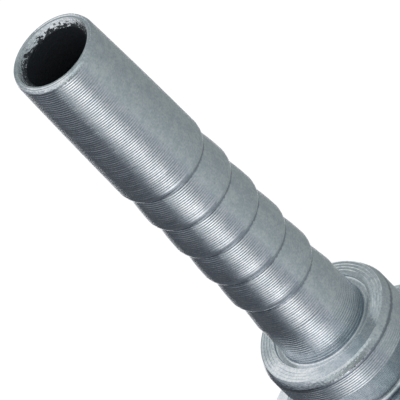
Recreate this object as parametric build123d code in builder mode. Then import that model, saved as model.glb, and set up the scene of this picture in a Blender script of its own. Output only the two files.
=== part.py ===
from build123d import *
from math import radians, tan
import os

# Steel hose tail for a crimped quarter inch hydraulic hose, turned in one piece from
# hexagon bar. Millimetres. The bore runs along +Z from the threaded connector end,
# whose flat face is centred on the origin, up to the tip that enters the hose.

# Bore, with a tapered mouth at the tip and a plain chamfer at the connector
bore_diameter = 4.8
tip_mouth_width = 0.24
tip_mouth_depth = 0.45
connector_mouth_chamfer = 0.5

# Connector: blank of a taper pipe thread, at the size of the thread's crests
thread_length = 12.0
thread_gauge_diameter = 13.157
thread_gauge_length = 6.0
thread_taper = 1 / 16
thread_end_chamfer = 0.9

# Spanner hexagon
hexagon_across_flats = 14.0
hexagon_height = 7.0
hexagon_face_inset = 0.21
hexagon_chamfer_angle = 20

# Groove that the crimped ferrule's lip closes into
groove_diameter = 7.0
groove_width = 3.7
groove_fillet = 0.5

# Collar, with a rounded front corner and an undercut round the foot of the neck
collar_diameter = 10.6
collar_width = 2.5
collar_back_chamfer = 0.12
collar_round_width = 0.3
collar_round_depth = 0.68
undercut_width = 0.54
undercut_depth = 0.6

# Barbed tail
tail_length = 32.4
neck_diameter = 6.71
neck_ramp_length = 2.45
barb_count = 5
barb_pitch = 3.36
barb_height = 0.286
barb_back_length = 0.7
first_crest_diameter = 6.91
crest_step = 0.034
lead_length = 12.15
lead_crown = 0.03
tip_diameter = 6.41
tip_round_width = 0.135
tip_round_depth = 0.33

# Levels along the bore
hexagon_top = thread_length + hexagon_height
collar_back = hexagon_top + groove_width
collar_face = collar_back + collar_width
tip_level = collar_face + tail_length

# Radii
bore_radius = bore_diameter / 2
thread_end_radius = (thread_gauge_diameter - thread_gauge_length * thread_taper) / 2
thread_top_radius = thread_end_radius + thread_length * thread_taper / 2
hexagon_radius = hexagon_across_flats / 2
hexagon_face_radius = hexagon_radius - hexagon_face_inset
groove_radius = groove_diameter / 2
collar_radius = collar_diameter / 2
neck_radius = neck_diameter / 2
tip_radius = tip_diameter / 2


def crest_point(barb):
    """Crest of one barb, counted from the tip, as radius and level."""
    radius = (first_crest_diameter - barb * crest_step) / 2
    return radius, tip_level - lead_length - barb * barb_pitch


def valley_point(barb):
    """Foot of the same barb's steep back, on the side of the collar."""
    radius, level = crest_point(barb)
    return radius - barb_height, level - barb_back_length


# The hexagon, with its corners turned off to a shallow cone at both ends
with BuildPart() as hexagon:
    with BuildSketch(Plane.XY.offset(thread_length)):
        RegularPolygon(hexagon_radius, 6, major_radius=False, rotation=30)
    extrude(amount=hexagon_height)
    with BuildSketch(Plane.XZ):
        with BuildLine():
            outer_radius = hexagon_radius + hexagon_across_flats / 8
            cone_rise = (outer_radius - hexagon_face_radius) * tan(radians(hexagon_chamfer_angle))
            Polyline(
                (0, thread_length),
                (hexagon_face_radius, thread_length),
                (outer_radius, thread_length + cone_rise),
                (outer_radius, hexagon_top - cone_rise),
                (hexagon_face_radius, hexagon_top),
                (0, hexagon_top),
                close=True,
            )
        make_face()
    revolve(axis=Axis.Z, mode=Mode.INTERSECT)

# Everything turned: one outline from the connector's end face up to the tip
with BuildPart() as hose_tail:
    with BuildSketch(Plane.XZ):
        with BuildLine():
            # Thread blank, and the core inside the hexagon
            core_radius = groove_radius + groove_fillet
            blank = Polyline(
                (0, 0),
                (thread_end_radius - thread_end_chamfer, 0),
                (thread_end_radius + thread_end_chamfer * thread_taper / 2, thread_end_chamfer),
                (thread_top_radius, thread_length),
                (core_radius, thread_length),
                (core_radius, hexagon_top),
            )

            # Groove floor between two fillets
            CenterArc((core_radius, hexagon_top + groove_fillet), groove_fillet, 270, -90)
            Line(
                (groove_radius, hexagon_top + groove_fillet),
                (groove_radius, collar_back - groove_fillet),
            )
            CenterArc((core_radius, collar_back - groove_fillet), groove_fillet, 180, -90)

            # Collar
            Polyline(
                (core_radius, collar_back),
                (collar_radius - collar_back_chamfer, collar_back),
                (collar_radius, collar_back + collar_back_chamfer),
                (collar_radius, collar_face - collar_round_depth),
            )
            EllipticalCenterArc(
                (collar_radius - collar_round_width, collar_face - collar_round_depth),
                collar_round_width,
                collar_round_depth,
                start_angle=0,
                arc_size=90,
            )

            # Undercut with a full round floor, and the neck that rises from it
            floor_radius = undercut_width / 2
            floor_level = collar_face - undercut_depth + floor_radius
            Polyline(
                (collar_radius - collar_round_width, collar_face),
                (neck_radius + undercut_width, collar_face),
                (neck_radius + undercut_width, floor_level),
            )
            CenterArc((neck_radius + floor_radius, floor_level), floor_radius, 0, -180)
            last_valley = valley_point(barb_count - 1)
            Polyline(
                (neck_radius, floor_level),
                (neck_radius, last_valley[1] - neck_ramp_length),
                last_valley,
            )

            # Barbs from the neck to the tip: a round back up to the crest, then a long ramp
            for barb in reversed(range(barb_count)):
                crest = crest_point(barb)
                valley = valley_point(barb)
                EllipticalCenterArc(
                    (valley[0], crest[1]),
                    barb_height,
                    barb_back_length,
                    start_angle=270,
                    arc_size=90,
                )
                if barb > 0:
                    Line(crest, valley_point(barb - 1))

            # Slightly crowned lead, ending in the rounded rim of the tip
            crest = crest_point(0)
            rim_level = tip_level - tip_round_depth
            middle = (
                (crest[0] + tip_radius) / 2 + lead_crown,
                (crest[1] + rim_level) / 2,
            )
            ThreePointArc(crest, middle, (tip_radius, rim_level))
            EllipticalCenterArc(
                (tip_radius - tip_round_width, rim_level),
                tip_round_width,
                tip_round_depth,
                start_angle=0,
                arc_size=90,
            )
            Polyline((tip_radius - tip_round_width, tip_level), (0, tip_level), (0, 0))
        make_face()
    revolve(axis=Axis.Z)
    add(hexagon.part)

    # Through bore, its tapered mouth in the tip and its chamfer in the connector
    with BuildSketch(Plane.XZ):
        with BuildLine():
            Polyline(
                (0, 0),
                (bore_radius + connector_mouth_chamfer, 0),
                (bore_radius, connector_mouth_chamfer),
                (bore_radius, tip_level - tip_mouth_depth),
                (bore_radius + tip_mouth_width, tip_level),
                (0, tip_level),
                close=True,
            )
        make_face()
    revolve(axis=Axis.Z, mode=Mode.SUBTRACT)

hose_tail.part.label = "hose_tail"

os.makedirs("parts", exist_ok=True)
export_step(hose_tail.part, "parts/hose_tail.step")
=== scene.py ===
import bpy
import math
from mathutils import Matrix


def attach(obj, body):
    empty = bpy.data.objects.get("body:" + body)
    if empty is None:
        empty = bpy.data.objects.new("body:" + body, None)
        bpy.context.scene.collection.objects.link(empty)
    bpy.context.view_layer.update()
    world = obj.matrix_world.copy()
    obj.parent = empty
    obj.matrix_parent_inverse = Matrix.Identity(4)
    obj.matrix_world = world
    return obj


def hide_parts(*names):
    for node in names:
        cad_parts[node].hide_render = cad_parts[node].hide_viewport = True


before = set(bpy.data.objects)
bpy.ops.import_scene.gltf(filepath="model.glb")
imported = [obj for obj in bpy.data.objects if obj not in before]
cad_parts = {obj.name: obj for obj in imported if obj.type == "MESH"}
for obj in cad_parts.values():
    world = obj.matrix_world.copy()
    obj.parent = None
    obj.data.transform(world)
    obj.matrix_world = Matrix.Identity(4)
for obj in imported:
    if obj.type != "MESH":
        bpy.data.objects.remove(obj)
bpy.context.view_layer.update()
scene = bpy.context.scene
mm = 0.001


def toLinear(code):
    # "#rrggbb" in sRGB to linear red, green, blue, alpha
    parts = [int(code[i:i + 2], 16) / 255 for i in (1, 3, 5)]
    return [c / 12.92 if c <= 0.04045 else ((c + 0.055) / 1.055) ** 2.4 for c in parts] + [1.0]


def addNode(tree, kind, inputs=None, **settings):
    node = tree.nodes.new(kind)
    for name, value in settings.items():
        setattr(node, name, value)
    for key, value in (inputs or {}).items():
        if isinstance(value, bpy.types.NodeSocket):
            tree.links.new(value, node.inputs[key])
        else:
            node.inputs[key].default_value = value
    return node


# outline of the turned piece, in mm out from the axis and up from the connector's end
turned = {
    "boreRadius": 2.4,
    "boreRings": 12,
    "mouthWidth": 0.37,                # torn mouth of the bore at the tip
    "mouthDepth": 0.52,
    "endMouth": 0.5,                   # the bore's chamfer at the connector, both ways
    "threadTop": 12.0,
    "threadTopRadius": 6.766,
    "hexagonTop": 19.0,
    "hexagonFlat": 7.0,                # axis to flat
    "hexagonFaceRadius": 6.79,
    "hexagonChamfer": 20,              # degrees
    "hexagonRings": 6,
    "grooveRadius": 3.5,
    "grooveFillet": 0.5,
    "collarBack": 22.7,
    "collarFace": 25.2,
    "collarRadius": 5.3,
    "collarBackChamfer": 0.12,
    "collarRim": (0.3, 0.68),          # width, depth
    "collarRimSteps": 8,
    "undercut": (0.54, 0.24),          # width, depth
    "undercutFillets": (0.06, 0.16),   # at the lip, at the neck
    "undercutLipSteps": 3,
    "faceBurr": (0.16, 0.035),         # width, height
    "neckRadius": 3.355,
    "neckRamp": 2.45,
    "barbs": 5,
    "barbPitch": 3.36,
    "barbHeight": 0.286,
    "barbBack": 0.7,
    "barbCrown": 0.045,
    "firstCrest": (3.455, 45.45),      # radius, level
    "crestStep": 0.017,                # each crest is that much smaller than the one above
    "leadCrown": 0.03,
    "tip": 57.6,
    "tipRadius": 3.205,
    "tipRim": (0.135, 0.33),           # width, depth
    "tipRimSteps": 6,
    "tipGroove": (2.95, 0.12, 0.05),   # radius, width, depth of the ring cut in the tip's face
    "rimBend": 1.35,                   # 1 is a straight chamfer
    "crownSteps": 12,
    "filletSteps": 6,
}
feeds = {  # feed of the turning tool per turn, depth of its marks, and where across a mark it is deepest; mm
    "lead": (0.19, 0.017, 0.5),
    "barb": (0.183, 0.0135, 0.5),
    "crest": (0.2, 0.006, 0.5),
    "neck": (0.208, 0.015, 0.5),
    "collarFace": (0.23, 0.03, 0.16),
    "collarSide": (0.2, 0.024, 0.5),
    "groove": (0.15, 0.006, 0.5),
    "hexagonFace": (0.24, 0.035, 0.12),
    "plain": (0, 0, 0),
}
ringsPerMark = 4    # for marks that are deepest in their middle
latheArm = 10.0     # mm, how far from the outline's own origin the lathe's axis lies
hexCorner = turned["hexagonFlat"] / math.cos(math.radians(30))
hexFace = turned["hexagonFaceRadius"]
hexBottom = turned["threadTop"]
hexTop = turned["hexagonTop"]
chamferSlope = math.tan(math.radians(turned["hexagonChamfer"]))


def arcPoints(centre, radii, start, end, count=turned["filletSteps"]):
    angles = [math.radians(start + (end - start) * i / count) for i in range(count + 1)]
    return [(centre[0] + radii[0] * math.cos(a), centre[1] + radii[1] * math.sin(a)) for a in angles]


def rimPoints(radius, level, width, depth, count):
    # a worn chamfer from the side up to the face, steepest where it meets the side
    shares = [i / count for i in range(count, -1, -1)]
    return [(radius - width * (1 - share) ** turned["rimBend"], level - depth * share) for share in shares]


def crownedLine(start, end, crown):
    # a straight side that swells in its middle by the crown
    points = []
    for i in range(turned["crownSteps"] + 1):
        share = i / turned["crownSteps"]
        swell = crown * 4 * share * (1 - share)
        radius = start[0] + (end[0] - start[0]) * share + swell
        points.append((radius, start[1] + (end[1] - start[1]) * share))
    return points


def crestPoint(barb):
    radius, level = turned["firstCrest"]
    return radius - barb * turned["crestStep"], level - barb * turned["barbPitch"]


def valleyPoint(barb):
    radius, level = crestPoint(barb)
    return radius - turned["barbHeight"], level - turned["barbBack"]


def barbBackPoints(barb):
    centre = (valleyPoint(barb)[0], crestPoint(barb)[1])
    return arcPoints(centre, (turned["barbHeight"], turned["barbBack"]), 270, 360)


def markedLine(points, name):
    # rings along a polyline, one mark of the tool after another, each with how deep the mark is there
    feed, depth, deepest = feeds[name]
    if not feed:
        return [(point, 0.0) for point in points]
    lengths = [math.dist(a, b) for a, b in zip(points, points[1:])]
    total = sum(lengths)
    marks = max(1, round(total / feed))
    # a round nose leaves arcs that meet in ridges, a leaning one leaves steps
    roundNose = deepest == 0.5
    stops = [i / ringsPerMark for i in range(ringsPerMark)] if roundNose else [0, deepest]
    rings = []
    for i in range(marks * len(stops) + 1):
        stop = stops[i % len(stops)]
        along = total * (i // len(stops) + stop) / marks
        side = 0
        while side < len(lengths) - 1 and along > lengths[side]:
            along -= lengths[side]
            side += 1
        share = min(1.0, along / lengths[side])
        place = tuple(a + (b - a) * share for a, b in zip(points[side], points[side + 1]))
        fullness = 1 - (2 * stop - 1) ** 2 if roundNose else min(stop / deepest, 1)
        rings.append((place, depth * fullness))
    return rings


def evenLevels(start, end, count):
    return [start + (end - start) * i / count for i in range(count + 1)]


def lowerSides():
    # from the thread's top to the last barb; the hexagon is still round here and gets its flats later
    cone = (hexCorner - hexFace) * chamferSlope
    middle = (hexFace + hexCorner) / 2
    hexLevels = evenLevels(hexBottom + cone, hexTop - cone, turned["hexagonRings"])
    groove, fillet = turned["grooveRadius"], turned["grooveFillet"]
    core = groove + fillet
    collar, back, face = turned["collarRadius"], turned["collarBack"], turned["collarFace"]
    backChamfer = turned["collarBackChamfer"]
    rimWidth, rimDepth = turned["collarRim"]
    burrWidth, burrHeight = turned["faceBurr"]
    neck = turned["neckRadius"]
    cutWidth, cutDepth = turned["undercut"]
    lipFillet, neckFillet = turned["undercutFillets"]
    lip = neck + cutWidth
    cutFloor = face - cutDepth
    neckFoot = (neck, cutFloor + neckFillet)
    valley = valleyPoint(turned["barbs"] - 1)
    rampFoot = (neck, valley[1] - turned["neckRamp"])
    return [
        ([(turned["threadTopRadius"], hexBottom), (hexFace, hexBottom)], "plain"),
        ([(middle, hexBottom + cone / 2), (hexCorner, hexBottom + cone)], "plain"),
        ([(hexCorner, level) for level in hexLevels], "plain"),
        ([(hexCorner, hexTop - cone), (middle, hexTop - cone / 2), (hexFace, hexTop)], "plain"),
        ([(hexFace, hexTop), (core, hexTop)], "hexagonFace"),
        (arcPoints((core, hexTop + fillet), (fillet, fillet), 270, 180), "plain"),
        ([(groove, hexTop + fillet), (groove, back - fillet)], "groove"),
        (arcPoints((core, back - fillet), (fillet, fillet), 180, 90), "plain"),
        ([(core, back), (collar - backChamfer, back), (collar, back + backChamfer)], "plain"),
        ([(collar, back + backChamfer), (collar, face - rimDepth)], "collarSide"),
        (rimPoints(collar, face, rimWidth, rimDepth, turned["collarRimSteps"]), "plain"),
        ([(collar - rimWidth, face), (lip + burrWidth, face)], "collarFace"),
        ([(lip + burrWidth, face), (lip, face + burrHeight)], "plain"),
        (arcPoints((lip - lipFillet, cutFloor + lipFillet), (lipFillet, lipFillet), 0, -90,
                   turned["undercutLipSteps"]), "plain"),
        (arcPoints((neck + neckFillet, neckFoot[1]), (neckFillet, neckFillet), 270, 180), "plain"),
        ([neckFoot, rampFoot], "neck"),
        ([rampFoot, valley], "barb"),
    ]


def barbSides():
    # the second barb's back and the side above it, which the lathe repeats for the others
    return [
        (barbBackPoints(1), "crest"),
        (crownedLine(crestPoint(1), valleyPoint(0), turned["barbCrown"]), "barb"),
    ]


def upperSides():
    # from the first barb over the tip and down the bore
    tip, outside = turned["tip"], turned["tipRadius"]
    rimWidth, rimDepth = turned["tipRim"]
    ring, ringWidth, ringDepth = turned["tipGroove"]
    bore, endMouth = turned["boreRadius"], turned["endMouth"]
    mouth, mouthFoot = bore + turned["mouthWidth"], tip - turned["mouthDepth"]
    halfMouth = (bore + turned["mouthWidth"] / 2, tip - turned["mouthDepth"] / 2)
    boreLevels = evenLevels(mouthFoot, endMouth, turned["boreRings"])
    return [
        (barbBackPoints(0), "crest"),
        (crownedLine(crestPoint(0), (outside, tip - rimDepth), turned["leadCrown"]), "lead"),
        (rimPoints(outside, tip, rimWidth, rimDepth, turned["tipRimSteps"]), "plain"),
        ([(outside - rimWidth, tip), (ring + ringWidth / 2, tip), (ring, tip - ringDepth)], "plain"),
        ([(ring - ringWidth / 2, tip), (mouth, tip)], "plain"),
        ([(mouth, tip), halfMouth, (bore, mouthFoot)], "plain"),
        ([(bore, level) for level in boreLevels], "plain"),
        ([(bore, endMouth), (bore + endMouth, 0)], "plain"),
    ]


def outlineObject(name, groups):
    # each group of sides is one line in the lathe's own plane
    places, depths, edges = [], [], []
    for sides in groups:
        rings = [ring for points, feed in sides for ring in markedLine(points, feed)]
        first = len(places)
        places += [((radius - latheArm) * mm, -level * mm, 0) for (radius, level), depth in rings]
        depths += [depth * mm for place, depth in rings]
        edges += [(i, i + 1) for i in range(first, len(places) - 1)]
    mesh = bpy.data.meshes.new(name)
    mesh.from_pydata(places, edges, [])
    mesh.attributes.new("mark", "FLOAT", "POINT").data.foreach_set("value", depths)
    holder = bpy.data.objects.new(name, mesh)
    scene.collection.objects.link(holder)
    print(name, "drawn,", len(places), "rings")
    return holder


lathe = {
    "Segments": 84,
    "Barbs": turned["barbs"] - 1,
    "Barb Step": (-turned["crestStep"] * mm, turned["barbPitch"] * mm, 0.0),
    "Mark Variation": 0.25,
    "Seed": 7,
    "Sharp Angle": math.radians(17),
    "Flat Distance": turned["hexagonFlat"] * mm,
    "Face Radius": hexFace * mm,
    "Corner Radius": hexCorner * mm,
    "Chamfer Slope": chamferSlope,
    "Hexagon Middle": (hexTop + hexBottom) / 2 * mm,
    "Hexagon Half Height": (hexTop - hexBottom) / 2 * mm,
    "Thread Pitch": 1.337 * mm,
    "Thread Depth": 0.856 * mm,
    "Thread Turns": 11,
    "Thread Length": turned["threadTop"] * mm,
    "Thread End Radius": 6.391 * mm,
    "Thread Half Taper": 1 / 32,
    "Thread End Chamfer": 0.9 * mm,
    "Thread Runout": 2.6 * mm,
    "Bore Mouth Radius": (turned["boreRadius"] + turned["endMouth"]) * mm,
    "Rings Per Turn": 14,
}
outlineGap = 1e-7     # m, ends of the outline that are nearer than this are one
meshGap = 1e-6        # m, the same for the finished mesh
threadFlat = 0.1      # share of the half pitch that is flat at the crest, and again at the root
flankRate = 1 / (1 - 2 * threadFlat)
flankStart = (1 - threadFlat) * flankRate

# each row makes one value from those above it, from the lathe's inputs and from the place x, y, z
hexagonSums = (
    ("xx", "MULTIPLY", "x", "x"),
    ("rr", "MULTIPLY_ADD", "y", "y", "xx"),
    ("radius", "SQRT", "rr"),
    ("angle", "ARCTAN2", "y", "x"),
    ("offFlat", "WRAP", "angle", math.pi / 6, -math.pi / 6),
    ("cosine", "COSINE", "offFlat"),
    ("flat", "DIVIDE", "Flat Distance", "cosine"),
    ("beyond", "SUBTRACT", "radius", "Face Radius"),
    ("reach", "SUBTRACT", "Corner Radius", "Face Radius"),
    ("share", "DIVIDE", "beyond", "reach"),
    ("toFlat", "SUBTRACT", "flat", "Face Radius"),
    ("newRadius", "MULTIPLY_ADD", "share", "toFlat", "Face Radius"),
    ("oldDrop", "MULTIPLY", "beyond", "Chamfer Slope"),
    ("oldHalf", "SUBTRACT", "Hexagon Half Height", "oldDrop"),
    ("newBeyond", "SUBTRACT", "newRadius", "Face Radius"),
    ("newDrop", "MULTIPLY", "newBeyond", "Chamfer Slope"),
    ("newHalf", "SUBTRACT", "Hexagon Half Height", "newDrop"),
    ("ratio", "DIVIDE", "newHalf", "oldHalf"),
    ("lift", "SUBTRACT", "z", "Hexagon Middle"),
    ("newZ", "MULTIPLY_ADD", "lift", "ratio", "Hexagon Middle"),
    ("scale", "DIVIDE", "newRadius", "radius"),
    ("newX", "MULTIPLY", "x", "scale"),
    ("newY", "MULTIPLY", "y", "scale"),
    ("outside", "GREATER_THAN", "beyond", meshGap),
)
threadSums = (
    ("columns", "MULTIPLY_ADD", "Thread Turns", "Segments", 1.0),
    ("rows", "ADD", "Rings Per Turn", 1.0),
    ("turn", "MULTIPLY_ADD", "Thread Turns", 0.5, "x"),
    ("across", "ADD", "y", 0.5),
    ("rise", "ADD", "turn", "across"),
    ("riseLess", "SUBTRACT", "rise", 2.0),
    ("raw", "MULTIPLY", "riseLess", "Thread Pitch"),
    ("floored", "MAXIMUM", "raw", 0.0),
    ("level", "MINIMUM", "floored", "Thread Length"),
    ("crest", "MULTIPLY_ADD", "level", "Thread Half Taper", "Thread End Radius"),
    ("twice", "MULTIPLY_ADD", "across", 2.0, -1.0),
    ("fold", "ABSOLUTE", "twice"),
    ("valley", "MULTIPLY_ADD", "fold", -flankRate, flankStart),
    ("above", "MAXIMUM", "valley", 0.0),
    ("form", "MINIMUM", "above", 1.0),
    ("left", "SUBTRACT", "Thread Length", "level"),
    ("runShare", "DIVIDE", "left", "Thread Runout"),
    ("fade", "MINIMUM", "runShare", 1.0),
    ("deep", "MULTIPLY", "form", "Thread Depth"),
    ("cut", "MULTIPLY", "deep", "fade"),
    ("threadRadius", "SUBTRACT", "crest", "cut"),
    ("nose", "SUBTRACT", "Thread End Radius", "Thread End Chamfer"),
    ("noseSlope", "ADD", "Thread Half Taper", 1.0),
    ("chamfer", "MULTIPLY_ADD", "level", "noseSlope", "nose"),
    ("outer", "MINIMUM", "threadRadius", "chamfer"),
    ("below", "DIVIDE", "raw", "Thread Pitch"),
    ("down", "MULTIPLY", "below", -1.0),
    ("downFloor", "MAXIMUM", "down", 0.0),
    ("inward", "MINIMUM", "downFloor", 1.0),
    ("wall", "SUBTRACT", "Bore Mouth Radius", "outer"),
    ("stripRadius", "MULTIPLY_ADD", "wall", "inward", "outer"),
    ("theta", "MULTIPLY", "turn", 2 * math.pi),
    ("cosTheta", "COSINE", "theta"),
    ("sinTheta", "SINE", "theta"),
    ("stripX", "MULTIPLY", "cosTheta", "stripRadius"),
    ("stripY", "MULTIPLY", "sinTheta", "stripRadius"),
)


def latheTree():
    tree = bpy.data.node_groups.new("turnHoseTail", "GeometryNodeTree")
    face = tree.interface
    kinds = {int: "NodeSocketInt", float: "NodeSocketFloat", tuple: "NodeSocketVector"}
    face.new_socket("Geometry", in_out="OUTPUT", socket_type="NodeSocketGeometry")
    face.new_socket("Outline", in_out="INPUT", socket_type="NodeSocketGeometry")
    face.new_socket("Barb Outline", in_out="INPUT", socket_type="NodeSocketObject")
    face.new_socket("Finish", in_out="INPUT", socket_type="NodeSocketMaterial")
    for name, value in lathe.items():
        face.new_socket(name, in_out="INPUT", socket_type=kinds[type(value)])
    given = addNode(tree, "NodeGroupInput").outputs

    sums = {name: given[name] for name in lathe}
    place = addNode(tree, "GeometryNodeInputPosition").outputs[0]
    xyz = addNode(tree, "ShaderNodeSeparateXYZ", {0: place}).outputs
    sums.update(x=xyz[0], y=xyz[1], z=xyz[2])
    for name, operation, *values in hexagonSums + threadSums:
        inputs = {i: sums.get(value, value) for i, value in enumerate(values)}
        sums[name] = addNode(tree, "ShaderNodeMath", inputs, operation=operation).outputs[0]

    # outline: the barbs are one outline repeated down the tail, joined to the rest end to end
    barb = addNode(tree, "GeometryNodeObjectInfo", {0: given["Barb Outline"]}).outputs["Geometry"]
    steps = {"Count": given["Barbs"], "Offset": given["Barb Step"]}
    places = addNode(tree, "GeometryNodeMeshLine", steps).outputs[0]
    row = addNode(tree, "GeometryNodeInstanceOnPoints", {"Points": places, "Instance": barb}).outputs[0]
    row = addNode(tree, "GeometryNodeRealizeInstances", {0: row}).outputs[0]
    whole = addNode(tree, "GeometryNodeJoinGeometry")
    tree.links.new(given["Outline"], whole.inputs[0])
    tree.links.new(row, whole.inputs[0])
    whole = addNode(tree, "GeometryNodeMergeByDistance", {0: whole.outputs[0], "Distance": outlineGap})
    outline = addNode(tree, "GeometryNodeMeshToCurve", {0: whole.outputs[0]}).outputs[0]

    # tool marks: shallow arcs that meet in ridges, no two quite as deep
    mark = addNode(tree, "GeometryNodeInputNamedAttribute", {"Name": "mark"}, data_type="FLOAT").outputs[0]
    number = addNode(tree, "GeometryNodeInputIndex").outputs[0]
    group = {0: number, 1: float(ringsPerMark)}
    group = addNode(tree, "ShaderNodeMath", group, operation="DIVIDE").outputs[0]
    group = addNode(tree, "ShaderNodeMath", {0: group}, operation="FLOOR").outputs[0]
    low = {0: 1.0, 1: given["Mark Variation"]}
    low = addNode(tree, "ShaderNodeMath", low, operation="SUBTRACT").outputs[0]
    draw = {2: low, 3: 1.0, "ID": group, "Seed": given["Seed"]}
    chance = addNode(tree, "FunctionNodeRandomValue", draw, data_type="FLOAT").outputs[1]
    depth = addNode(tree, "ShaderNodeMath", {0: mark, 1: chance}, operation="MULTIPLY").outputs[0]
    along = addNode(tree, "GeometryNodeInputTangent").outputs[0]
    aside = {0: along, 1: (0, 0, 1)}
    aside = addNode(tree, "ShaderNodeVectorMath", aside, operation="CROSS_PRODUCT").outputs[0]
    shift = addNode(tree, "ShaderNodeVectorMath", {0: aside, "Scale": depth}, operation="SCALE").outputs[0]
    outline = addNode(tree, "GeometryNodeSetPosition", {0: outline, "Offset": shift}).outputs[0]

    # turned round the axis
    ring = {"Resolution": given["Segments"], "Radius": latheArm * mm}
    circle = addNode(tree, "GeometryNodeCurvePrimitiveCircle", ring).outputs[0]
    body = addNode(tree, "GeometryNodeCurveToMesh", {0: circle, 1: outline}).outputs[0]
    body = addNode(tree, "GeometryNodeFlipFaces", {0: body}).outputs[0]

    # hexagon: rings beyond the face's edge go out to the six flats
    spot = {0: sums["newX"], 1: sums["newY"], 2: sums["newZ"]}
    spot = addNode(tree, "ShaderNodeCombineXYZ", spot).outputs[0]
    moved = {0: body, "Selection": sums["outside"], "Position": spot}
    body = addNode(tree, "GeometryNodeSetPosition", moved).outputs[0]

    # taper thread: one strip a pitch wide wound round the cone, each turn joined to the next
    grid = {"Size X": given["Thread Turns"], "Size Y": 1.0}
    grid.update({"Vertices X": sums["columns"], "Vertices Y": sums["rows"]})
    strip = addNode(tree, "GeometryNodeMeshGrid", grid).outputs[0]
    spot = {0: sums["stripX"], 1: sums["stripY"], 2: sums["level"]}
    spot = addNode(tree, "ShaderNodeCombineXYZ", spot).outputs[0]
    thread = addNode(tree, "GeometryNodeSetPosition", {0: strip, "Position": spot}).outputs[0]

    joined = addNode(tree, "GeometryNodeJoinGeometry")
    tree.links.new(body, joined.inputs[0])
    tree.links.new(thread, joined.inputs[0])
    joined = addNode(tree, "GeometryNodeMergeByDistance", {0: joined.outputs[0], "Distance": meshGap})
    smooth = {0: joined.outputs[0], "Shade Smooth": True}
    joined = addNode(tree, "GeometryNodeSetShadeSmooth", smooth, domain="FACE").outputs[0]
    sharp = {0: addNode(tree, "GeometryNodeInputMeshEdgeAngle").outputs[0], 1: given["Sharp Angle"]}
    sharp = addNode(tree, "ShaderNodeMath", sharp, operation="GREATER_THAN").outputs[0]
    edged = {0: joined, "Selection": sharp, "Shade Smooth": False}
    joined = addNode(tree, "GeometryNodeSetShadeSmooth", edged, domain="EDGE").outputs[0]
    joined = addNode(tree, "GeometryNodeRealizeInstances", {0: joined}).outputs[0]
    done = addNode(tree, "GeometryNodeSetMaterial", {0: joined, "Material": given["Finish"]}).outputs[0]
    addNode(tree, "NodeGroupOutput", {0: done})
    return tree


outline = outlineObject("outline", [lowerSides(), upperSides()])
barbOutline = outlineObject("barbOutline", [barbSides()])
steel = bpy.data.materials.new("zincPlatedTurnedSteel")
steel.use_nodes = True
modifier = outline.modifiers.new("lathe", "NODES")
modifier.node_group = latheTree()
wanted = {**lathe, "Barb Outline": barbOutline, "Finish": steel}
for item in modifier.node_group.interface.items_tree:
    if item.in_out == "INPUT" and item.name in wanted:
        modifier[item.identifier] = wanted[item.name]

for spare in (outline, barbOutline):
    spare.hide_render = True
bpy.context.view_layer.update()
mesh = bpy.data.meshes.new_from_object(outline.evaluated_get(bpy.context.evaluated_depsgraph_get()))
mesh.name = "turnedHoseTail"
mesh.materials.clear()
mesh.materials.append(steel)
mesh.polygons.foreach_set("material_index", [0] * len(mesh.polygons))
hoseTail = bpy.data.objects.new("turnedHoseTail", mesh)
scene.collection.objects.link(hoseTail)
for spare in (outline, barbOutline):
    bpy.data.objects.remove(spare, do_unlink=True)
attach(hoseTail, "root")
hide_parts("hose_tail")
print("hose tail turned,", len(mesh.polygons), "faces")

# free-cutting steel, turned with a round-nosed tool, then zinc plated and passivated: the feed marks draw
# each reflection out into fine rings, the plating turns it a mottled blue-grey, and handling leaves
# battered rims; the turned corners, the valleys below the barbs and the drilled bore are painted shade
finish = {
    "bright": "#dde1e5",
    "dull": "#c7cfd5",
    "mottle": (0.83, 1.17),    # sum of clouds and grain that is bright, and that is dull
    "cloudSize": 0.7,          # mm, drifts of the passivated colour
    "grainSize": 0.16,         # mm, plating grain, drawn coarser than its real few hundredths to show
    "grainDepth": 0.0024,      # mm
    "ringSize": 0.085,         # mm across the rings left by chatter between the marks
    "ringStretch": 3.0,        # how often a ring changes on its way round
    "ringDepth": 0.0018,       # mm
    "roughness": (0.12, 0.22),
    "roughnessEnds": (0.35, 0.65),   # chatter that gives the one, and that gives the other
    "speckColour": "#868f94",
    "speckSpacing": 0.42,      # mm
    "speckRadius": 0.07,       # mm
    "speckThreshold": 0.62,    # a cell whose random value is above this has a speck
    "speckStrength": 0.3,
    # painted shade: the colour laid in the turned corners and below each barb
    "cornerShadeColour": "#979da5",
    # radius, level and reach of the corners painted with shade and of the battered rims, mm
    "paintedCornerShade": ((5.3, 24.5, 0.2), (3.95, 19.15, 0.4), (3.9, 22.55, 0.4)),
    "nicks": ((5.2, 24.85, 0.42), (3.14, 57.45, 0.24), (3.9, 25.2, 0.12)),
    "valleyShadeReach": 0.21,       # mm, reach of the painted shade below each barb
    "nickSize": 0.18,          # mm
    "nickDepth": 0.03,         # mm
    "edgeWander": 0.25,        # mm, how far the edges of the painted corner shade and of the nicks wander
    "edgeShift": 0.12,         # mm, and how far they are drawn outward to make up for it
    # painted shade: the dark colour of the deep drilled bore
    "boreShadeColour": "#1e242a",
    "boreRoughness": 0.6,
    "tornSize": 0.3,           # mm, torn metal at the drilled mouth
    "tornStretch": 2.4,        # how much finer it is down the bore than round it
    "tornWarp": 0.6,
    "tornDepth": 0.06,         # mm
    "tornSwing": 2.0,          # mm, how far down the torn metal's swings reach
    "tornEdge": (-0.72, -0.66),      # mm, depth less swing where it turns from bright to dark
    "cleanLip": (0.12, 0.18),        # mm below the tip where the dark may begin
}


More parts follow.
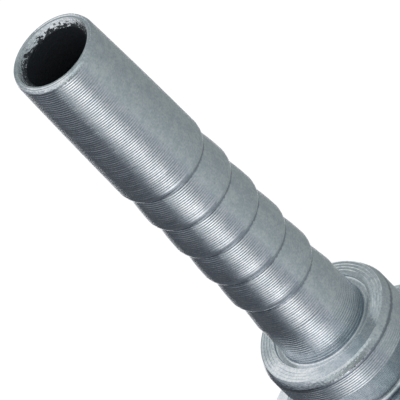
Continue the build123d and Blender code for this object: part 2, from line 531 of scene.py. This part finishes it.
def steelFinish():
    tree = steel.node_tree
    tree.nodes.clear()
    place = addNode(tree, "ShaderNodeTexCoord").outputs["Object"]
    flat = addNode(tree, "ShaderNodeVectorMath", {0: place, 1: (1, 1, 0)}, operation="MULTIPLY").outputs[0]
    radius = addNode(tree, "ShaderNodeVectorMath", {0: flat}, operation="LENGTH").outputs["Value"]
    level = addNode(tree, "ShaderNodeSeparateXYZ", {0: place}).outputs[2]

    # chatter: noise that is fine across the marks and long along them, on the sides and on the faces alike
    around = addNode(tree, "ShaderNodeVectorMath", {0: flat}, operation="NORMALIZE").outputs[0]
    around = addNode(tree, "ShaderNodeSeparateXYZ", {0: around}).outputs
    across, onward = finish["ringSize"] * mm, 1 / finish["ringStretch"]
    ways = []
    for way, size in ((radius, across), (level, across), (around[0], onward), (around[1], onward)):
        ways.append(addNode(tree, "ShaderNodeMath", {0: way, 1: size}, operation="DIVIDE").outputs[0])
    ringPlace = addNode(tree, "ShaderNodeCombineXYZ", {0: ways[0], 1: ways[1], 2: ways[2]}).outputs[0]
    ringNoise = {"Vector": ringPlace, "W": ways[3], "Scale": 1.0, "Detail": 2.0, "Roughness": 0.6}
    chatter = addNode(tree, "ShaderNodeTexNoise", ringNoise, noise_dimensions="4D").outputs["Fac"]

    tornPlace = {0: place, 1: (1.0, 1.0, finish["tornStretch"])}
    tornPlace = addNode(tree, "ShaderNodeVectorMath", tornPlace, operation="MULTIPLY").outputs[0]
    noises = []
    for where, size, detail, roughness, warp in (
        (place, "cloudSize", 4.0, 0.62, 0.0),
        (place, "grainSize", 2.0, 0.5, 0.0),
        (place, "nickSize", 2.0, 0.5, 0.0),
        (tornPlace, "tornSize", 3.0, 0.65, finish["tornWarp"]),
    ):
        inputs = {"Vector": where, "Scale": 1 / (finish[size] * mm), "Detail": detail}
        inputs.update({"Roughness": roughness, "Distortion": warp})
        noises.append(addNode(tree, "ShaderNodeTexNoise", inputs).outputs["Fac"])
    clouds, grain, nicks, torn = noises
    mottle = addNode(tree, "ShaderNodeMath", {0: clouds, 1: grain}, operation="ADD").outputs[0]
    bright, dull = finish["mottle"]
    ends = {"Value": mottle, "From Min": bright, "From Max": dull}
    tone = addNode(tree, "ShaderNodeMapRange", ends).outputs[0]

    # specks: pinholes and stains in some of the cells, ragged with the grain
    cells = {"Vector": place, "Scale": 1 / (finish["speckSpacing"] * mm)}
    cells = addNode(tree, "ShaderNodeTexVoronoi", cells).outputs
    reach = finish["speckRadius"] / finish["speckSpacing"]
    ragged = {0: grain, 1: reach, 2: cells["Distance"]}
    ragged = addNode(tree, "ShaderNodeMath", ragged, operation="MULTIPLY_ADD").outputs[0]
    fading = {"Value": ragged, "From Min": reach, "From Max": 2 * reach, "To Min": 1.0, "To Max": 0.0}
    speck = addNode(tree, "ShaderNodeMapRange", fading).outputs[0]
    chosen = {0: cells["Color"], 1: finish["speckThreshold"]}
    chosen = addNode(tree, "ShaderNodeMath", chosen, operation="GREATER_THAN").outputs[0]
    for factor in (chosen, finish["speckStrength"]):
        speck = addNode(tree, "ShaderNodeMath", {0: speck, 1: factor}, operation="MULTIPLY").outputs[0]

    # thin painted shade in the turned corners and below each barb, and rims that other parts have battered
    section = addNode(tree, "ShaderNodeCombineXYZ", {0: radius, 1: level}).outputs[0]
    valleys = [(*valleyPoint(barb), finish["valleyShadeReach"]) for barb in range(turned["barbs"])]
    zones = []
    for rings in ([*finish["paintedCornerShade"], *valleys], finish["nicks"]):
        zone = 0.0
        for ringRadius, ringLevel, reach in rings:
            away = {0: section, 1: (ringRadius * mm, ringLevel * mm, 0)}
            away = addNode(tree, "ShaderNodeVectorMath", away, operation="DISTANCE").outputs["Value"]
            away = {0: nicks, 1: finish["edgeWander"] * mm, 2: away}
            away = addNode(tree, "ShaderNodeMath", away, operation="MULTIPLY_ADD").outputs[0]
            away = {0: away, 1: finish["edgeShift"] * mm}
            away = addNode(tree, "ShaderNodeMath", away, operation="SUBTRACT").outputs[0]
            fading = {"Value": away, "From Min": reach * mm / 2, "From Max": reach * mm}
            fading.update({"To Min": 1.0, "To Max": 0.0})
            near = addNode(tree, "ShaderNodeMapRange", fading).outputs[0]
            zone = addNode(tree, "ShaderNodeMath", {0: near, 1: zone}, operation="MAXIMUM").outputs[0]
        zones.append(zone)
    paintedCornerShade, battered = zones

    # drilled mouth: torn metal that ends raggedly in the bore, which is painted shade: dark, dull and not
    # metal
    depth = {0: turned["tip"] * mm, 1: level}
    depth = addNode(tree, "ShaderNodeMath", depth, operation="SUBTRACT").outputs[0]
    swung = {0: torn, 1: -finish["tornSwing"] * mm, 2: depth}
    swung = addNode(tree, "ShaderNodeMath", swung, operation="MULTIPLY_ADD").outputs[0]
    mouthRadius = (turned["boreRadius"] + turned["mouthWidth"]) * mm
    inside = addNode(tree, "ShaderNodeMath", {0: radius, 1: mouthRadius}, operation="LESS_THAN").outputs[0]
    bore = inside
    for value, (start, end) in ((swung, finish["tornEdge"]), (depth, finish["cleanLip"])):
        ends = {"Value": value, "From Min": start * mm, "From Max": end * mm}
        share = addNode(tree, "ShaderNodeMapRange", ends).outputs[0]
        bore = addNode(tree, "ShaderNodeMath", {0: bore, 1: share}, operation="MULTIPLY").outputs[0]

    # colour in layers: plating tone, specks, painted shade in the corners, painted shade in the bore
    colour = toLinear(finish["bright"])
    for share, code in ((tone, "dull"), (speck, "speckColour"), (paintedCornerShade, "cornerShadeColour"), (bore, "boreShadeColour")):
        layers = {0: share, 6: colour, 7: toLinear(finish[code])}
        colour = addNode(tree, "ShaderNodeMix", layers, data_type="RGBA").outputs[2]
    # painted shade in the bore: it is no metal there, so it stays dark
    metallic = addNode(tree, "ShaderNodeMath", {0: 1.0, 1: bore}, operation="SUBTRACT").outputs[0]
    (start, end), (smooth, rough) = finish["roughnessEnds"], finish["roughness"]
    ends = {"Value": chatter, "From Min": start, "From Max": end, "To Min": smooth, "To Max": rough}
    roughness = addNode(tree, "ShaderNodeMapRange", ends).outputs[0]
    layers = {0: bore, 2: roughness, 3: finish["boreRoughness"]}
    roughness = addNode(tree, "ShaderNodeMix", layers, data_type="FLOAT").outputs[0]

    inMouth = addNode(tree, "ShaderNodeMath", {0: torn, 1: inside}, operation="MULTIPLY").outputs[0]
    onRims = addNode(tree, "ShaderNodeMath", {0: nicks, 1: battered}, operation="MULTIPLY").outputs[0]
    relief = {"Height": grain, "Distance": finish["grainDepth"] * mm}
    bump = addNode(tree, "ShaderNodeBump", relief).outputs[0]
    for height, size in ((chatter, "ringDepth"), (inMouth, "tornDepth"), (onRims, "nickDepth")):
        relief = {"Height": height, "Distance": finish[size] * mm, "Normal": bump}
        bump = addNode(tree, "ShaderNodeBump", relief).outputs[0]
    surface = {"Base Color": colour, "Metallic": metallic, "Roughness": roughness, "Normal": bump}
    shader = addNode(tree, "ShaderNodeBsdfPrincipled", surface).outputs[0]
    addNode(tree, "ShaderNodeOutputMaterial", {"Surface": shader})


steelFinish()
print("steel finished")

studio = {
    "cameraPlace": (0.0502965, -0.2587533, 0.2481964),
    "cameraTurn": (41.8866, 33.7074, -20.7488),   # degrees
    "cameraBearing": -79.0,   # degrees, from which the boards are counted
    "lens": 450.0,
    "sensor": 36.0,
    "clip": (0.01, 20.0),
    "floorColour": "#e8e8e8",
    "floorGlow": 0.32,        # lifts the paper to white where it is seen, not in the light it throws back
    "floorSize": 3.0,
    "roomLight": 0.9,
    "roomSeen": 1.0,
    "boardColumn": 2,         # degrees
}
camera = bpy.data.objects.new("camera", bpy.data.cameras.new("camera"))
scene.collection.objects.link(camera)
camera.location = studio["cameraPlace"]
camera.rotation_euler = [math.radians(angle) for angle in studio["cameraTurn"]]
camera.data.lens = studio["lens"]
camera.data.sensor_width = studio["sensor"]
camera.data.clip_start, camera.data.clip_end = studio["clip"]
scene.camera = camera
scene.view_settings.view_transform = "Standard"


def freshTree(owner):
    owner.use_nodes = True
    owner.node_tree.nodes.clear()
    return owner.node_tree


def seenRays(tree):
    # 1 for what the camera sees, also in a mirror or through glass, and 0 for light
    rays = addNode(tree, "ShaderNodeLightPath").outputs
    seen = rays["Is Camera Ray"]
    for ray in ("Is Glossy Ray", "Is Transmission Ray"):
        seen = addNode(tree, "ShaderNodeMath", {0: seen, 1: rays[ray]}, operation="MAXIMUM").outputs[0]
    return seen


# uncoated white paper in a wide sweep: pressed pulp without a gleam, which takes only a soft shadow
size = studio["floorSize"]
floorMesh = bpy.data.meshes.new("floor")
corners = [(-size, -size, 0), (size, -size, 0), (size, size, 0), (-size, size, 0)]
floorMesh.from_pydata(corners, [], [(0, 1, 2, 3)])
floor = bpy.data.objects.new("floor", floorMesh)
scene.collection.objects.link(floor)
paper = bpy.data.materials.new("whitePaperSweep")
tree = freshTree(paper)
glowing = {0: seenRays(tree), 1: studio["floorGlow"]}
glowing = addNode(tree, "ShaderNodeMath", glowing, operation="MULTIPLY").outputs[0]
matt = addNode(tree, "ShaderNodeBsdfDiffuse", {"Color": toLinear(studio["floorColour"])}).outputs[0]
glow = addNode(tree, "ShaderNodeEmission", {"Color": (1, 1, 1, 1), "Strength": glowing}).outputs[0]
both = addNode(tree, "ShaderNodeAddShader", {0: matt, 1: glow}).outputs[0]
addNode(tree, "ShaderNodeOutputMaterial", {"Surface": both})
floorMesh.materials.append(paper)

world = bpy.data.worlds.new("whiteRoom")
scene.world = world
tree = freshTree(world)
ends = {"Value": seenRays(tree), "To Min": studio["roomLight"], "To Max": studio["roomSeen"]}
light = addNode(tree, "ShaderNodeMapRange", ends).outputs[0]
glow = addNode(tree, "ShaderNodeBackground", {"Color": (1, 1, 1, 1), "Strength": light}).outputs[0]
addNode(tree, "ShaderNodeOutputWorld", {"Surface": glow})

# glowing boards round the part, seen only in the metal's reflections: painted reflections that light nothing
# else, the bright and dark bands on the metal; each row is a reach and a level in mm and the shades along it,
# by bearing in degrees clockwise from the camera; the rest is the white room
wash = ((-45, 0.5), (-24, 0.56), (-8, 0.64), (4, 0.98), (10, 1.25), (18, 1.6), (30, 1.5), (44, 0.92),
        (56, 0.36), (66, 0.16), (80, 0.1), (150, 0.12))
far = ((-45, 0.44), (-10, 0.5), (4, 0.6), (18, 0.85), (30, 0.8), (44, 0.5), (56, 0.26), (66, 0.14),
       (150, 0.12))
near = ((-45, 0.32), (0, 0.42), (20, 0.66), (40, 0.48), (60, 0.25), (80, 0.14), (150, 0.14))
foot = ((-45, 0.3), (20, 0.34), (46, 0.3), (80, 0.16), (150, 0.16))
side = ((-28, 0.56), (-42, 0.49), (-60, 0.45), (-90, 0.385), (-120, 0.36), (-150, 0.36))
sideFoot = ((-150, 0.38), (-28, 0.36))
skirting = ((-45, 0.5), (-24, 0.44), (-6, 0.2), (8, 0.12), (58, 0.14))
flag = ((-45, 0.52), (-24, 0.48), (-4, 0.34), (20, 0.42), (36, 0.6), (58, 0.85))
roof = ((14, 0.7), (4, 0.44), (-8, 0.42), (-22, 0.55), (-60, 0.6), (-90, 0.52), (-150, 0.5), (-170, 0.4),
        (-182, 0.34), (-192, 0.95))
eaves = ((14, 0.9), (6, 0.72), (-28, 0.68), (-90, 0.55), (-150, 0.9), (-167, 0.9), (-173, 0.5), (-182, 0.38),
         (-187, 0.5), (-192, 0.95))
lowEaves = ((14, 1.0), (6, 0.86), (-28, 0.8), (-90, 0.56), (-150, 0.46), (-182, 0.38), (-187, 0.5),
            (-192, 0.95))
greys = ("#eef9fa", "#f2fbfb")
blues = ("#e4efff", "#ffffff")
boards = {
    "greySide": {
        "rows": ((18, -1, side), (18, 75, side)),
        "tints": greys,
    },
    "sideFoot": {
        "rows": ((3, 0.2, sideFoot), (18, 0.2, sideFoot)),
        "tints": greys,
    },
    "floorMat": {
        "rows": ((3, 0.2, foot), (20, 0.2, foot), (30, 0.2, near), (52, 0.2, wash), (95, 0.2, wash),
                 (140, 0.2, far)),
        "tints": blues,
    },
    "frontFlag": {
        "rows": ((140, 0.2, skirting), (140, 12, skirting), (140, 24, flag), (140, 75, flag)),
        "tints": greys,
    },
    "greyRoof": {
        "rows": ((140, 75, lowEaves), (130, 120, lowEaves), (122, 150, eaves), (105, 190, roof),
                 (60, 235, roof), (1, 250, roof)),
        "tints": greys,
    },
    "leftCard": {
        "rows": (
            (140, 0.2, ((58, 0.2), (80, 0.3), (150, 0.4))),
            (140, 34, ((58, 0.26), (80, 0.42), (150, 0.5))),
            (140, 60, ((58, 0.6), (80, 0.6), (150, 0.7))),
        ),
        "tints": blues,
    },
    "backCard": {
        "rows": (
            (230, 0, ((-150, 0.55), (-180, 0.56), (-184, 0.56))),
            (190, 160, ((-150, 0.9), (-166, 0.88), (-174, 0.62), (-178, 0.52), (-184, 0.52))),
            (150, 230, ((-150, 0.75), (-164, 0.6), (-172, 0.42), (-178, 0.34), (-184, 0.36))),
        ),
        "tints": greys,
    },
    "backLeftCard": {
        "rows": ((225, 90, ((-184, 0.48), (-230, 0.5))), (210, 165, ((-184, 0.42), (-230, 0.48)))),
        "tints": greys,
    },
}


def shadeAt(shades, bearing):
    for (start, low), (end, high) in zip(shades, shades[1:]):
        if min(start, end) <= bearing <= max(start, end):
            return low + (high - low) * (bearing - start) / (end - start)
    return shades[-1][1]


def makeBoard(name, board):
    # a sheet from row to row, with a column every few degrees
    rows = board["rows"]
    firstAlong = rows[0][2]
    first, last = firstAlong[0][0], firstAlong[-1][0]
    width = math.ceil(abs(last - first) / studio["boardColumn"]) + 1
    bearings = [first + (last - first) * column / (width - 1) for column in range(width)]
    places, shades, faces = [], [], []
    for reach, height, along in rows:
        for bearing in bearings:
            turn = math.radians(studio["cameraBearing"] - bearing)
            places.append((reach * math.cos(turn) * mm, reach * math.sin(turn) * mm, height * mm))
            shades.append(shadeAt(along, bearing))
    for row in range(len(rows) - 1):
        for column in range(width - 1):
            corner = row * width + column
            faces.append((corner, corner + 1, corner + 1 + width, corner + width))
    boardMesh = bpy.data.meshes.new(name)
    boardMesh.from_pydata(places, [], faces)
    boardMesh.attributes.new("shade", "FLOAT", "POINT").data.foreach_set("value", shades)
    sheet = bpy.data.objects.new(name, boardMesh)
    scene.collection.objects.link(sheet)
    # each board glows by its shade: a painted reflection, hidden from the camera and from all but glossy rays
    reflectionGlow = bpy.data.materials.new(name + "Paint")
    tree = freshTree(reflectionGlow)
    deep, pale = board["tints"]
    shade = addNode(tree, "ShaderNodeAttribute", attribute_name="shade").outputs["Fac"]
    layers = {0: shade, 6: toLinear(deep), 7: toLinear(pale)}
    tint = addNode(tree, "ShaderNodeMix", layers, data_type="RGBA").outputs[2]
    glow = addNode(tree, "ShaderNodeEmission", {"Color": tint, "Strength": shade}).outputs[0]
    addNode(tree, "ShaderNodeOutputMaterial", {"Surface": glow})
    boardMesh.materials.append(reflectionGlow)
    for ray in ("camera", "diffuse", "transmission", "volume_scatter", "shadow"):
        setattr(sheet, "visible_" + ray, False)


for name, board in boards.items():
    makeBoard(name, board)

print("stage set")
